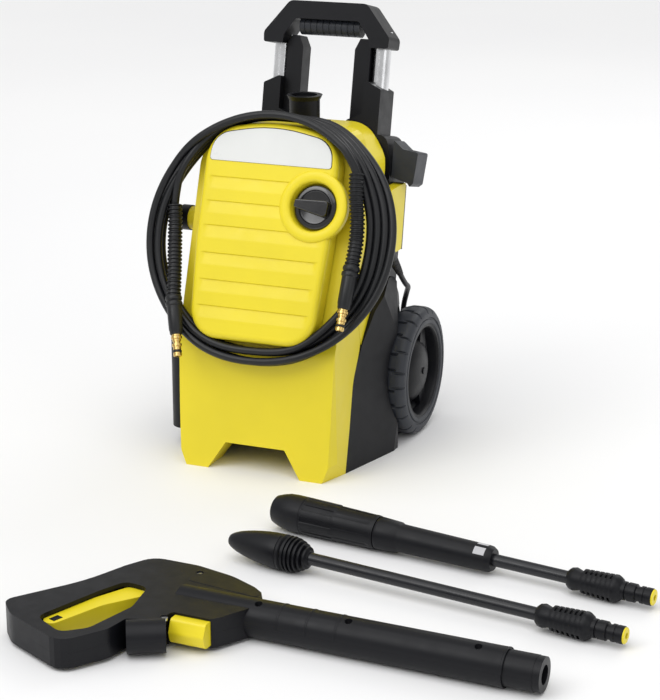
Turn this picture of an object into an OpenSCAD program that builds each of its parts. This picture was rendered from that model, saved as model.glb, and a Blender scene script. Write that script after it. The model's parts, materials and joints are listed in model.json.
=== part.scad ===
/* [Body] */
// Half width of the yellow body at its flat sides
body_half = 111.5; // [109:0.5:112]
// Height of the main housing's crown above the ground
housing_top = 437; // [430:1:442]
// Angle by which the front face leans back from the vertical
front_lean = 19; // [18:0.5:20]
// Half width of the raised front plate
plate_half = 94; // [88:1:96]
// How far the front plate stands proud of the cover
plate_rise = 26.5; // [22:0.5:28]
// Wall thickness of the moulded covers
wall = 3.5; // [2.5:0.5:4]

/* [Handle] */
// Angle by which the telescopic handle leans back
handle_lean = 12; // [10:0.5:14]
// Radius of the two telescopic tubes
tube_r = 12; // [10:0.5:12.5]
// Half distance between the two telescopic tubes
tube_half_gap = 73; // [72:0.5:78]

/* [Wheels] */
// Outer radius of a wheel
wheel_r = 89.3; // [84:0.1:90]
// Half of the width over both wheels
wheel_outer = 152.5; // [150:0.5:156]
// Width of one tyre
tyre_w = 37; // [32:1:37]
// Radius of the axle
axle_r = 5; // [4:0.5:6]

/* [Mains cable] */
// Outside radius of the mains cable
cable_r = 3.75; // [3:0.05:4]
// Radius of the middle of the mains cable's coil
coil_mid_r = 45; // [42:1:48]

/* [Spray gun] */
// Radius of the gun's barrel
barrel_r = 21.5; // [20:0.5:22]
// Half thickness of the gun's handle
gun_half = 17; // [15:0.5:18]

/* [Lances] */
// Radius of a lance's steel tube
lance_tube_r = 7.4; // [6.5:0.1:8]
// Largest radius of the adjustable nozzle's sleeve
sleeve_r = 23; // [21:0.5:24]
// Largest radius of the rotating nozzle
bullet_r = 21.5; // [20:0.5:23]

/* [Hidden] */

yellow = "gold";
black = [0.07, 0.07, 0.08];
charcoal = [0.2, 0.21, 0.24];
run_gap = 0.05;

// A point on the cover's front face, from which its plane is measured
face_y = -98;
face_z = 405;
// The slope of the front face: how far it moves back for each millimetre up
face_slope = tan(front_lean);
function face_at(z) = face_y + face_slope * (z - face_z);
// The line along which the front cover meets the main housing
parting_back = 42;
function parting_at(z) = face_at(z) + parting_back;

// The handle's leaning middle plane crosses the ground at this place
lean_y = -23.3;
// Where the main housing ends and the rear cover begins, ahead of that plane
housing_end = -34;
upright_front = -29.9;
upright_back = 22;
upright_out = 86;
post_in = 38;
post_out = 61;

axle_y = 55.5;
axle_z = wheel_r;
tyre_inner = wheel_outer - tyre_w;
rim_r = 66;

knob_x = 67;
knob_t = -59;
knob_r = 29.5;
knob_recess_r = 31;
knob_ring_r = 46.5;

// Where the gun and the two lances lie on the ground
gun_at = [538, -656];
gun_turn = -2.3;
vario_at = [94, -346];
rotor_at = [91.5, -455];
lance_turn = -7.6;
// Each lance rests on its nozzle and its collar, so its axis dips towards the collar
vario_tilt = 1;
rotor_tilt = 0.86;

// Outline of the front plate in its own plane: across, up, corner radius
plate_outline = [
    [-87, -241.5, 40], [87, -241.5, 40], [plate_half, -110, 200],
    [plate_half, 31, 50], [0, 50, 260], [-plate_half, 31, 50], [-plate_half, -110, 200]
];
badge_outline = [
    [-89, -11, 4], [89, -11, 4], [88, 26, 30], [0, 44, 220], [-88, 26, 30]
];
groove_ts = [-62, -94, -130, -165, -199];

// Hose bundle round the front plate, in the plate's plane
ring_out = [5, -105, 173, 165];
ring_in = [-4, -103, 141, 147];
ring_back = 2;
ring_front = 25;

// Route of each hose end over the front: across, up the face, out from it
hose_right_route = [[121, -12, 27], [124, -40, 26], [128, -70, 22], [130, -100, 22], [130, -132, 27]];
hose_right_end = [[130, -132, 27], [129, -186, 34.5], [128.5, -214, 38.4]];
hose_left_route = [[-134, -72, 14], [-130, -95, 15], [-125, -125, 18], [-119, -155, 23], [-111, -195, 31]];
hose_left_end = [[-111, -195, 31], [-97.5, -243, 37], [-90, -271, 40]];

// Route of the mains cable from the strain relief to its coil behind the machine
cable_route = [
    [125, 16, 243], [125, 32, 227], [123, 52, 213], [118, 76, 202], [109, 96, 188],
    [101, 106, 165], [97, 110, 130], [95, 112, 90], [93, 114, 52], [90, 120, 24],
    [82, 130, 9], [70, 142, 4], [58, 155, 4], [46, 172, 5]
];
coil_at = [-6, 172];
coil_half_w = 16;
coil_h = 30;
plug_at = [-52, 113];
tail_route = [[-50, 158, 12], [-52, 140, 11], [-54, 123, 12], [plug_at.x, plug_at.y, 14]];
plug_r = 17;

// Gun outline, seen from above as it lies: along the barrel, across, corner radius
gun_outline = [
    [-312, 21, 40], [-384, 55, 90], [-434, 66, 60], [-492, 66, 24], [-509, 32, 40],
    [-529, -24, 200], [-582, -104, 14], [-556, -132, 40], [-472, -170, 20], [-441, -122, 30],
    [-437, -92, 4], [-404, -80, 6], [-400, -56, 4], [-352, -56, 10], [-332, -19, 20]
];
gun_opening = [
    [-526, -126, 12], [-500, -41, 80], [-486, -7, 12], [-456, -11, 12],
    [-446, -62, 20], [-461, -128, 20], [-484, -149, 12]
];
trigger_outline = [
    [-484, -10, 8], [-502, -47, 60], [-525, -121, 8], [-508, -127, 8],
    [-484, -61, 60], [-458, -25, 10], [-452, -1, 8], [-468, 3, 8]
];
trigger_pocket = [
    [-488, -1, 6], [-518, -47, 60], [-544, -119, 8], [-528, -139, 8],
    [-506, -133, 4], [-488, -57, 60], [-454, -33, 4], [-442, -7, 6], [-450, 13, 8], [-474, 13, 8]
];
trigger_pin = [-462, -7];
trigger_half = 11;
button_box = [[-397, -68], [-355, -38]];
hose_mouth = [-432, -100];
hose_mouth_turn = 30;
hose_mouth_depth = 28;

function unit(v) = v / norm(v);
function turn_of(a, b) = let (d = b - a) d - 360 * floor((d + 180) / 360);

// Points of an outline whose corners [x, y, r] are rounded to radius r
function fillet(p, steps = 5) = [
    for (i = [0 : len(p) - 1])
        let (
            n = len(p), here = [p[i].x, p[i].y],
            before = [p[(i + n - 1) % n].x, p[(i + n - 1) % n].y],
            after = [p[(i + 1) % n].x, p[(i + 1) % n].y],
            u = unit(before - here), v = unit(after - here), r = p[i][2]
        )
        each (r == 0 ? [here] :
            let (
                half = acos(u * v) / 2, mid = here + unit(u + v) * r / sin(half),
                from = here + u * r / tan(half) - mid, to = here + v * r / tan(half) - mid,
                a = atan2(from.y, from.x), sweep = turn_of(a, atan2(to.y, to.x))
            )
            [for (k = [0 : steps]) mid + r * [cos(a + sweep * k / steps), sin(a + sweep * k / steps)]])
];

// The same outline moved inwards by d, for corners listed anticlockwise
function inset(p, d) = [
    for (i = [0 : len(p) - 1])
        let (
            n = len(p), here = [p[i].x, p[i].y],
            e = unit(here - [p[(i + n - 1) % n].x, p[(i + n - 1) % n].y]),
            f = unit([p[(i + 1) % n].x, p[(i + 1) % n].y] - here),
            m = [-e.y, e.x], k = [-f.y, f.x], s = here + (m + k) * d / (1 + m * k),
            convex = e.x * f.y - e.y * f.x > 0
        )
        [s.x, s.y, max(0, p[i][2] + (convex ? -d : d))]
];

function ellipse(e) = [for (a = [0 : 5 : 355]) [e[0] + e[2] * cos(a), e[1] + e[3] * sin(a)]];

// Smooth points through a route, a few between each pair
function between(p, i, t) =
    let (
        a = p[max(i - 1, 0)], b = p[i], c = p[i + 1], d = p[min(i + 2, len(p) - 1)]
    )
    0.5 * (2 * b + (c - a) * t + (2 * a - 5 * b + 4 * c - d) * t * t + (3 * b - a - 3 * c + d) * t * t * t);
function smooth(p, n) = [
    for (i = [0 : len(p) - 2], k = [0 : n - 1]) between(p, i, k / n),
    p[len(p) - 1]
];

// A closed round tube swept along points, with its seam turned towards ref
module tube(p, r, ref, sides = 10) {
    last = len(p) - 1;
    points = [
        for (i = [0 : last])
            let (
                t = unit(p[min(i + 1, last)] - p[max(i - 1, 0)]),
                s = unit(cross(t, ref)), q = cross(t, s)
            )
            for (k = [0 : sides - 1])
                p[i] + r * (cos(360 * k / sides) * s + sin(360 * k / sides) * q)
    ];
    walls = [
        for (i = [0 : last - 1], k = [0 : sides - 1])
            let (a = i * sides + k, b = i * sides + (k + 1) % sides)
            [a, a + sides, b + sides, b]
    ];
    ends = [
        [for (k = [0 : sides - 1]) k],
        [for (k = [sides - 1 : -1 : 0]) last * sides + k]
    ];
    polyhedron(points, concat(walls, ends));
}

// A round bar or cone from a to b
module rod(a, b, r1, r2) {
    v = b - a;
    translate(a)
        rotate([0, acos(v.z / norm(v)), atan2(v.y, v.x)])
            cylinder(h = norm(v), r1 = r1, r2 = r2, $fn = 40);
}

// A side outline [y, z] spread across the width from x0 to x1
module across(p, x0, x1) {
    translate([x0, 0, 0])
        rotate([90, 0, 90])
            linear_extrude(x1 - x0) polygon(p);
}

// A front outline [x, z] run from y0 back to y1
module through(p, y0, y1) {
    translate([0, y1, 0])
        rotate([90, 0, 0])
            linear_extrude(y1 - y0) polygon(p);
}

// Placed on the leaning front face: x across, y up the face, z out from it
module on_face() {
    translate([0, face_y, face_z]) rotate([90 - front_lean, 0, 0]) children();
}

// Placed on the handle's leaning middle plane: x across, y back, z up the plane
module on_lean() {
    translate([0, lean_y, 0]) rotate([-handle_lean, 0, 0]) children();
}

module both_sides() {
    children();
    mirror([1, 0, 0]) children();
}

// Everything on the inner side of a plane through p that is tilted and turned from upright
module inside_of(p, tilt, turn) {
    translate(p) rotate([0, tilt, turn]) translate([-500, -500, -500]) cube([500, 1000, 1000]);
}

// ---------------------------------------------------------------- body

foot_in = 68.6;
foot_chamfer = [113, -143, 0];
arch_top = 38;

module arch(grow) {
    through([
        [-foot_in - 1 - grow, -5], [foot_in + 1 + grow, -5],
        [44 + grow, arch_top + grow], [-41 - grow, arch_top + grow]
    ], -230, -100);
}

module cover_outer() {
    intersection() {
        across(fillet([
            [-190, 0, 0], [-143, 0, 0], [-128, 56, 0], [-114, 119, 60], [-86, 162, 30],
            [parting_at(245), 245, 40], [parting_at(446), 446, 6], [face_at(446), 446, 14],
            [-178, 168, 60]
        ]), -125, 125);
        through(fillet([
            [-113, 0, 0], [113, 0, 0], [body_half, 150, 0], [body_half, 396, 40],
            [97, 446, 30], [-97, 446, 30], [-body_half, 396, 40], [-body_half, 150, 0]
        ]), -240, 0);
        linear_extrude(500) polygon(fillet([
            [-114, -20, 0], [-114, -168, 30], [-106, -192, 12], [106, -192, 12],
            [114, -168, 30], [114, -20, 0]
        ]));
        inside_of(foot_chamfer, 20.1, -17.7);
        mirror([1, 0, 0]) inside_of(foot_chamfer, 20.1, -17.7);
    }
}

module cover_hollow() {
    floor_z = 6;
    difference() {
        intersection() {
            across([
                [-190 + wall, floor_z], [60, floor_z], [60, 446 - wall],
                [face_at(446) + wall + 0.5, 446 - wall], [-178 + wall, 168]
            ], -125, 125);
            through(fillet([
                [-113 + wall, floor_z, 0], [113 - wall, floor_z, 0],
                [body_half - wall, 150, 0], [body_half - wall, 394, 36],
                [95 - wall, 446 - wall, 26], [wall - 95, 446 - wall, 26],
                [wall - body_half, 394, 36], [wall - body_half, 150, 0]
            ]), -240, 60);
            linear_extrude(500) polygon([
                [-109, 60], [-109, -156], [-96, -192 + wall], [96, -192 + wall],
                [109, -156], [109, 60]
            ]);
        }
        arch(wall);
    }
}

module front_cover() {
    color(yellow)
        difference() {
            cover_outer();
            cover_hollow();
            arch(0);
            on_face() translate([knob_x, knob_t, -20]) cylinder(h = 40, r = 9, $fn = 40);
            outlet_place() cylinder(h = 60, r = 11.4, $fn = 40);
        }
}

groove_depth = 1.4;
plate_back = 0.2;
knob_floor = 12;

module front_plate() {
    color(yellow)
        on_face()
            difference() {
                union() {
                    translate([0, 0, plate_back])
                        linear_extrude(plate_rise - plate_back) polygon(fillet(plate_outline));
                    translate([knob_x, knob_t, plate_rise - 6])
                        cylinder(h = 8.5, r = knob_ring_r, $fn = 64);
                }
                translate([0, 0, -1])
                    linear_extrude(plate_rise - 4)
                        difference() {
                            polygon(fillet(inset(plate_outline, 4)));
                            translate([knob_x, knob_t]) circle(r = knob_recess_r + wall, $fn = 64);
                        }
                for (t = groove_ts)
                    translate([-plate_half + 8, t - 2, plate_rise - groove_depth])
                        cube([(t > knob_t - 40 ? knob_x - knob_ring_r - 4 : 84) + plate_half - 8, 4, 5]);
                translate([knob_x, knob_t, knob_floor]) cylinder(h = 30, r = knob_recess_r, $fn = 64);
                translate([knob_x, knob_t, -5]) cylinder(h = 40, r = 6 + run_gap, $fn = 40);
            }
}

module badge_plate() {
    color("white")
        on_face()
            translate([0, 0, plate_rise])
                linear_extrude(1.4) polygon(fillet(badge_outline));
}

housing_low = 152;
bump_out = 125;

module housing_outer() {
    front = parting_at(housing_top) + 0.5;
    intersection() {
        across(fillet([
            [parting_at(245) + 0.6, 245.5, 40], [-85.4, 162.7, 0], [-60, housing_low, 0],
            [100, housing_low, 0], [100, housing_top, 0], [front, housing_top, 0]
        ]), -130, 130);
        through(fillet([
            [-body_half, 100, 0], [body_half, 100, 0], [body_half, 390, 34],
            [70, housing_top, 44], [-70, housing_top, 44], [-body_half, 390, 34]
        ]), -140, 90);
        on_lean()
            linear_extrude(600) polygon(fillet([
                [-body_half - 5, -200, 0], [body_half + 5, -200, 0],
                [body_half + 0.2, housing_end - 0.3, 32], [-body_half - 0.2, housing_end - 0.3, 32]
            ]));
    }
}

module main_housing() {
    color(yellow)
        difference() {
            union() {
                housing_outer();
                both_sides()
                    across(fillet([
                        [-30, 268, 12], [28, 268, 4], [45, 357, 4], [-16, 357, 14]
                    ]), body_half - 1, bump_out);
            }
            intersection() {
                across([
                    [-190, 100], [100, 100], [100, housing_top - wall], [-190, housing_top - wall]
                ], -130, 130);
                through(fillet([
                    [wall - body_half, 90, 0], [body_half - wall, 90, 0],
                    [body_half - wall, 388, 30], [68, housing_top - wall, 40],
                    [-68, housing_top - wall, 40], [wall - body_half, 388, 30]
                ]), -160, 100);
            }
        }
}

rear_face = 27;
rear_half = 109.6;

module rear_cover() {
    outline = [
        [-rear_half, 176, 10], [rear_half, 176, 10], [rear_half, 385, 26],
        [101, 424, 14], [-101, 424, 14], [-rear_half, 385, 26]
    ];
    front_wall = housing_end + 0.3 + wall;
    color(black)
        difference() {
            union() {
                on_lean()
                    difference() {
                        rotate([90, 0, 0])
                            translate([0, 0, -rear_face])
                                linear_extrude(rear_face - housing_end - 0.3) polygon(fillet(outline));
                        rotate([90, 0, 0])
                            translate([0, 0, -rear_face + wall])
                                linear_extrude(rear_face - wall - front_wall)
                                    polygon(fillet(inset(outline, wall)));
                        both_sides()
                            translate([post_in - 1, upright_front - 0.3, 400])
                                cube([upright_out - post_in + 2, upright_back - upright_front + 1.6, 60]);
                        translate([0, 0, inlet_s]) rotate([-90, 0, 0]) cylinder(h = 60, r = 11.2, $fn = 48);
                    }
                both_sides()
                    across([[28.6, 268], [34, 266], [49.5, 352], [44.7, 352]], rear_half - 2, bump_out - 1);
            }
            translate([0, motor_y, 100]) cylinder(h = 220, r = motor_r + 2, $fn = 80);
        }
}

chassis_half = 103;
chassis_front = -134;
chassis_back = 88;
chassis_low = 42;
chassis_top = 150;

module chassis() {
    color(black)
        difference() {
            union() {
                translate([-chassis_half, chassis_front, chassis_low])
                    cube([2 * chassis_half, chassis_back - chassis_front, chassis_top - chassis_low]);
                both_sides()
                    translate([84, chassis_front, 0]) cube([chassis_half - 84, 179, chassis_low]);
                translate([-chassis_half, 25, 0]) cube([2 * chassis_half, 20, chassis_low]);
            }
            translate([5 - chassis_half, chassis_front + 5, chassis_low + 5])
                cube([2 * chassis_half - 10, chassis_back - chassis_front - 10, 200]);
            translate([-200, axle_y, axle_z]) rotate([0, 90, 0]) cylinder(h = 400, r = axle_r, $fn = 40);
        }
}

panel_side = [
    [-142.4, 0, 0], [100, 0, 20], [118, 60, 30], [112, 146, 20], [64, 148, 8],
    [46, 200, 12], [12, 234, 14], [-4, 234, 14], [-52, 200, 0],
    [-85, 162.4, 30], [-113, 119.4, 60], [-127.3, 56, 0]
];

module side_panel() {
    plan = [
        [107, -150], [141, -150], [141, -20], [118, 30], [113.4, 60], [113.4, 130], [107, 130]
    ];
    difference() {
        intersection() {
            across(fillet(panel_side), 104, 145);
            linear_extrude(240) polygon(plan);
            through([[100, -1], [142, -1], [142, 120], [119, 236], [100, 236]], -160, 140);
            inside_of(foot_chamfer, -5.1, -14.7);
        }
        translate([tyre_inner - 1.5, axle_y, axle_z])
            rotate([0, 90, 0]) cylinder(h = 60, r = wheel_r + 4, $fn = 96);
        translate([100, axle_y, axle_z]) rotate([0, 90, 0]) cylinder(h = 40, r = axle_r + 4, $fn = 40);
        across(fillet(inset(panel_side, 5)), 100, 108.9);
        translate([100, -130, 144]) cube([body_half + 0.4 - 100, 260, 120]);
    }
}

module side_panel_right() {
    color(black) side_panel();
}

cup_at = [-135.6, -104, 25];

module side_panel_left() {
    color(black) {
        difference() {
            union() {
                mirror([1, 0, 0]) side_panel();
                translate(cup_at) cylinder(h = 165, r = 22, $fn = 64);
            }
            translate([cup_at.x, cup_at.y, cup_at.z + 5]) cylinder(h = 200, r = 18.5, $fn = 64);
        }
    }
}

module holder() {
    color(charcoal)
        on_lean()
            difference() {
                translate([0, 12, 0])
                    rotate([90, 0, 0])
                        linear_extrude(40)
                            polygon(fillet([
                                [110.3, 369, 0], [134, 362, 3], [137, 358, 0], [142, 362, 3],
                                [146, 404, 3], [124, 407, 6], [113, 416, 4], [110.3, 418, 0]
                            ]));
                translate([132, -8, 372]) cylinder(h = 60, r = 7.8, $fn = 40);
            }
}

module holder_right() { holder(); }
module holder_left() { mirror([1, 0, 0]) holder(); }

upright_low = 222;
bore_low = 150;

module upright() {
    color(black)
        on_lean()
            difference() {
                union() {
                    rotate([90, 0, 0])
                        translate([0, 0, -upright_back])
                            linear_extrude(upright_back - upright_front)
                                polygon(fillet([
                                    [post_in, upright_low, 4], [upright_out, upright_low, 4],
                                    [upright_out, 484, 3], [post_out, 496, 3],
                                    [post_out, 450, 0], [post_in, 440, 6]
                                ]));
                    rotate([90, 0, 0])
                        translate([0, 0, -14])
                            linear_extrude(28)
                                polygon([
                                    [post_in, 420], [post_out, 420], [post_out, 543],
                                    [55, 551], [45, 551], [post_in, 536]
                                ]);
                }
                translate([tube_half_gap, 0, bore_low])
                    cylinder(h = 500, r = tube_r + run_gap, $fn = 64);
            }
}

module upright_right() { upright(); }
module upright_left() { mirror([1, 0, 0]) upright(); }

hook_y = -11;

module hose_hook() {
    color(black) {
        difference() {
            union() {
                translate([0, hook_y, housing_top]) cylinder(h = 34, r = 20.5, $fn = 64);
                translate([0, hook_y, housing_top + 34]) cylinder(h = 6, r1 = 21, r2 = 24, $fn = 64);
                translate([10, hook_y - 10, housing_top]) cube([26, 14, 8]);
            }
            translate([0, hook_y, housing_top + 36]) cylinder(h = 60, r = 17, $fn = 64);
        }
    }
}

// ---------------------------------------------------------------- water and power

outlet_y = -100;
outlet_z = 317;

module outlet_place() {
    translate([-95, outlet_y, outlet_z]) rotate([0, -90, 0]) children();
}

module outlet_collar() {
    color(yellow)
        outlet_place()
            translate([0, 0, 17])
                difference() {
                    cylinder(h = 14, r = 15.5, $fn = 48);
                    translate([0, 0, -1]) cylinder(h = 20, r = 11, $fn = 48);
                }
}

module outlet_socket() {
    color(black)
        outlet_place()
            difference() {
                union() {
                    cylinder(h = 31, r = 11, $fn = 48);
                    translate([0, 0, 31]) cylinder(h = 13, r = 17, $fn = 48);
                }
                translate([0, 0, 12]) cylinder(h = 60, r = 8, $fn = 48);
            }
}

module outlet_pipe() {
    color("silver")
        rod([-30, -70, 283], [-95, outlet_y, outlet_z], 6, 6);
}

inlet_s = 235;

module water_inlet() {
    color(black)
        on_lean()
            translate([0, 0, inlet_s])
                rotate([-90, 0, 0])
                    difference() {
                        union() {
                            translate([0, 0, 10]) cylinder(h = 20, r = 11, $fn = 48);
                            translate([0, 0, rear_face]) cylinder(h = 6, r = 14, $fn = 48);
                            translate([0, 0, rear_face]) cylinder(h = 32, r = 8.6, $fn = 48);
                        }
                        translate([0, 0, 5]) cylinder(h = 80, r = 5, $fn = 48);
                    }
}

motor_y = -45;
motor_r = 60;
motor_low = 48;
motor_top = 214;

module motor_housing() {
    color("dimgray")
        difference() {
            translate([0, motor_y, motor_low]) cylinder(h = motor_top - motor_low, r = motor_r, $fn = 80);
            translate([0, motor_y, motor_low + 8])
                cylinder(h = motor_top - motor_low - 16, r = motor_r - 5, $fn = 80);
            translate([0, motor_y, motor_low + 3]) cylinder(h = 300, r = 6 + run_gap, $fn = 40);
        }
}

module motor_rotor() {
    color("orange")
        union() {
            translate([0, motor_y, motor_low + 4]) cylinder(h = 184, r = 6, $fn = 40);
            translate([0, motor_y, motor_low + 20]) cylinder(h = 110, r = 36, $fn = 64);
        }
}

module pump_head() {
    color("silver")
        difference() {
            union() {
                translate([0, motor_y, motor_top]) cylinder(h = 46, r = 48, $fn = 64);
                translate([-42, motor_y - 34, motor_top + 46]) cube([84, 60, 36]);
            }
            translate([0, motor_y, motor_top - 1]) cylinder(h = 32, r = 6 + run_gap, $fn = 40);
        }
}

module switch_box() {
    color("dimgray")
        on_face()
            difference() {
                translate([knob_x - 27, knob_t - 30, -52]) cube([54, 60, 30]);
                translate([knob_x - 24, knob_t - 27, -49]) cube([48, 54, 24]);
                translate([knob_x, knob_t, -40]) cylinder(h = 40, r = 6.4, $fn = 40);
            }
}

module axle() {
    color("silver")
        translate([-wheel_outer + 6, axle_y, axle_z])
            rotate([0, 90, 0]) cylinder(h = 2 * wheel_outer - 12, r = axle_r, $fn = 40);
}

module cover_screws() {
    color("silver")
        on_lean()
            for (x = [-96, 96], s = [198, 410])
                translate([x * (s > 300 ? 0.95 : 1), rear_face, s])
                    rotate([-90, 0, 0])
                        difference() {
                            cylinder(h = 2.4, r = 4.5, $fn = 32);
                            translate([-3, -0.6, 1.4]) cube([6, 1.2, 2]);
                        }
}

module power_knob() {
    color(black)
        on_face()
            translate([knob_x, knob_t, 0])
                rotate([0, 0, -6]) {
                    translate([0, 0, knob_floor + 0.5]) cylinder(h = 7, r = knob_r, $fn = 64);
                    translate([0, 0, -18]) cylinder(h = 34, r = 6, $fn = 40);
                    translate([0, 0, knob_floor + 7])
                        linear_extrude(15)
                            polygon(fillet([
                                [-25, -7, 4], [24, -12, 5], [24, 12, 5], [-25, 7, 4]
                            ]));
                }
}

// ---------------------------------------------------------------- wheels

module tyre_shape() {
    rotate([0, 90, 0])
        rotate_extrude($fn = 128)
            polygon(fillet([
                [rim_r, tyre_inner, 0], [wheel_r - 3, tyre_inner, 4], [wheel_r, tyre_inner + 8, 6],
                [wheel_r, wheel_outer - 8, 6], [wheel_r - 4, wheel_outer, 5], [rim_r, wheel_outer - 1, 2]
            ]));
}

module rim_shape() {
    face = wheel_outer - 14;
    rotate([0, 90, 0])
        rotate_extrude($fn = 128)
            polygon([
                [axle_r + run_gap, tyre_inner], [18, tyre_inner], [20, face - 8],
                [rim_r - 8, face - 8], [rim_r - 6, tyre_inner + 2], [rim_r, tyre_inner + 2],
                [rim_r, wheel_outer - 2], [rim_r - 5, wheel_outer - 2], [rim_r - 9, face - 3],
                [22, face - 3], [19, wheel_outer - 3], [0, wheel_outer - 3],
                [0, wheel_outer - 5], [axle_r + run_gap, wheel_outer - 5]
            ]);
}

module at_axle() {
    translate([0, axle_y, axle_z]) children();
}

module tyre_right() { color(black) at_axle() tyre_shape(); }
module rim_right() { color(charcoal) at_axle() rim_shape(); }
module tyre_left() { color(black) at_axle() mirror([1, 0, 0]) tyre_shape(); }
module rim_left() { color(charcoal) at_axle() mirror([1, 0, 0]) rim_shape(); }

// ---------------------------------------------------------------- telescopic handle

grip_top = 597;
grip_low = 539;
grip_front = -29;
grip_back = 14;

module handle_grip() {
    color(black)
        on_lean()
            difference() {
                rotate([90, 0, 0])
                    translate([0, 0, -grip_back])
                        linear_extrude(grip_back - grip_front)
                            polygon(fillet([
                                [-91, grip_low, 3], [-63, grip_low, 3], [-62, 550, 8],
                                [-46, 573, 6], [46, 573, 6], [62, 550, 8], [63, grip_low, 3],
                                [91, grip_low, 3], [92, 553, 10], [56, grip_top, 12],
                                [-56, grip_top, 12], [-92, 553, 10]
                            ]));
                both_sides()
                    translate([tube_half_gap, 0, 500]) cylinder(h = 64, r = tube_r, $fn = 64);
            }
}

module grip_insert() {
    color(charcoal)
        on_lean()
            translate([-44, -7, 565])
                rotate([0, 90, 0])
                    difference() {
                        union() {
                            cylinder(h = 88, r = 12.5, $fn = 64);
                            translate([-13, -8, 0]) cube([10, 16, 88]);
                        }
                        for (k = [0 : 8])
                            translate([0, 0, 8 + 9 * k - 1])
                                difference() {
                                    cylinder(h = 2, r = 20, $fn = 40);
                                    translate([0, 0, -1]) cylinder(h = 4, r = 11.6, $fn = 64);
                                }
                    }
}

tube_low = 185;

module handle_tubes() {
    color("silver")
        on_lean()
            both_sides()
                translate([tube_half_gap, 0, tube_low])
                    difference() {
                        cylinder(h = 563 - tube_low, r = tube_r, $fn = 64);
                        translate([0, 0, -1]) cylinder(h = 600, r = tube_r - 1.5, $fn = 64);
                    }
}

// ---------------------------------------------------------------- hose

module hose_coil() {
    color(black)
        on_face()
            translate([0, 0, ring_back])
                linear_extrude(ring_front - ring_back)
                    difference() {
                        polygon(ellipse(ring_out));
                        polygon(ellipse(ring_in));
                        polygon(fillet(inset(plate_outline, -1)));
                    }
}

module hose_sleeve_right() {
    color(black) on_face() tube(smooth(hose_right_route, 3), 10, [1, 0, 0.1], 12);
}

module hose_sleeve_left() {
    color(black) on_face() tube(smooth(hose_left_route, 3), 10, [1, 0, 0.1], 12);
}

module hose_nipple(p) {
    color("goldenrod")
        on_face() {
            rod(p[0], p[1], 11.5, 8.5);
            rod(p[1], p[2], 6, 6);
        }
}

module hose_nipple_right() { hose_nipple(hose_right_end); }
module hose_nipple_left() { hose_nipple(hose_left_end); }

// ---------------------------------------------------------------- mains cable

module strain_relief() {
    color(black)
        difference() {
            rod([123, -14, 273], cable_route[0], 9, 5);
            translate([90, -60, 230]) cube([28, 120, 80]);
        }
}

module mains_cable() {
    color(black) tube(smooth(cable_route, 4), cable_r, [1, 1, 0.2]);
}

module mains_coil() {
    color(black)
        translate([coil_at.x, coil_at.y, 0.3])
            rotate_extrude($fn = 64)
                polygon(fillet([
                    [coil_mid_r - coil_half_w, 0, 8], [coil_mid_r + coil_half_w, 0, 8],
                    [coil_mid_r + coil_half_w, coil_h, 8], [coil_mid_r - coil_half_w, coil_h, 8]
                ]));
}

module mains_tail() {
    color(black) tube(smooth(tail_route, 4), cable_r, [1, 1, 0.2]);
}

module cable_tie() {
    color("dimgray")
        translate([coil_at.x - 5, coil_at.y + coil_mid_r, 0.3])
            difference() {
                translate([0, -coil_half_w - 1.2, 0])
                    cube([10, 2 * coil_half_w + 2.4, coil_h + 1.2]);
                translate([-1, -coil_half_w + 0.2, -1]) cube([12, 2 * coil_half_w - 0.4, coil_h + 0.8]);
            }
}

module plug_place() {
    translate([plug_at.x, plug_at.y, plug_r]) rotate([90, 0, 8]) children();
}

module plug() {
    color(black)
        plug_place()
            difference() {
                union() {
                    cylinder(h = 26, r1 = 5, r2 = 14, $fn = 48);
                    translate([0, 0, 26]) cylinder(h = 18, r = plug_r, $fn = 48);
                }
                for (x = [-9.5, 9.5])
                    translate([x, 0, 30]) cylinder(h = 30, r = 2.4, $fn = 32);
            }
}

module plug_pins() {
    color("silver")
        plug_place()
            for (x = [-9.5, 9.5])
                translate([x, 0, 30]) cylinder(h = 33, r = 2.4, $fn = 32);
}

// ---------------------------------------------------------------- spray gun

module gun_place() {
    translate([gun_at.x, gun_at.y, barrel_r]) rotate([0, 0, gun_turn]) children();
}

barrel_back = -420;
barrel_front = -8;

module barrel(r, x0, x1) {
    translate([x0, 0, 0]) rotate([0, 90, 0]) cylinder(h = x1 - x0, r = r, $fn = 64);
}

module hose_boss(r, h) {
    translate([hose_mouth.x, hose_mouth.y, 0])
        rotate([0, 90, hose_mouth_turn])
            cylinder(h = h, r = r, $fn = 48);
}

module gun_body() {
    difference() {
        union() {
            translate([0, 0, -gun_half])
                linear_extrude(2 * gun_half) polygon(fillet(gun_outline, 4));
            barrel(barrel_r, barrel_back, -40);
            barrel(barrel_r - 2, -40, barrel_front);
            hose_boss(gun_half + 1.3, 42);
        }
        translate([0, 0, -50]) linear_extrude(100) polygon(fillet(gun_opening, 3));
        translate([0, 0, -trigger_half - 1])
            linear_extrude(2 * trigger_half + 2) polygon(fillet(trigger_pocket, 2));
        barrel(14, -330, 0);
        hose_boss(12, hose_mouth_depth);
        translate([button_box[0].x - 0.6, button_box[0].y - 10, -14.6])
            cube([button_box[1].x - button_box[0].x + 1.2, button_box[1].y - button_box[0].y + 16, 29.2]);
        translate([trigger_pin.x, trigger_pin.y, -16]) cylinder(h = 32, r = trigger_axle_r, $fn = 32);
        for (p = screw_places)
            translate([p.x, p.y, -50]) cylinder(h = 100, r = 2, $fn = 24);
        for (p = screw_places)
            translate([p.x, p.y, screw_head_z]) cylinder(h = 50, r = 4.2, $fn = 24);
    }
}

screw_places = [[-423, 49], [-402.5, -70], [-322, -6], [-216, -6], [-70, -6]];
screw_head_z = 13;

module gun_shell_upper() {
    color(black)
        gun_place()
            intersection() {
                gun_body();
                translate([-700, -300, 0.05]) cube([800, 600, 60]);
            }
}

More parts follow.
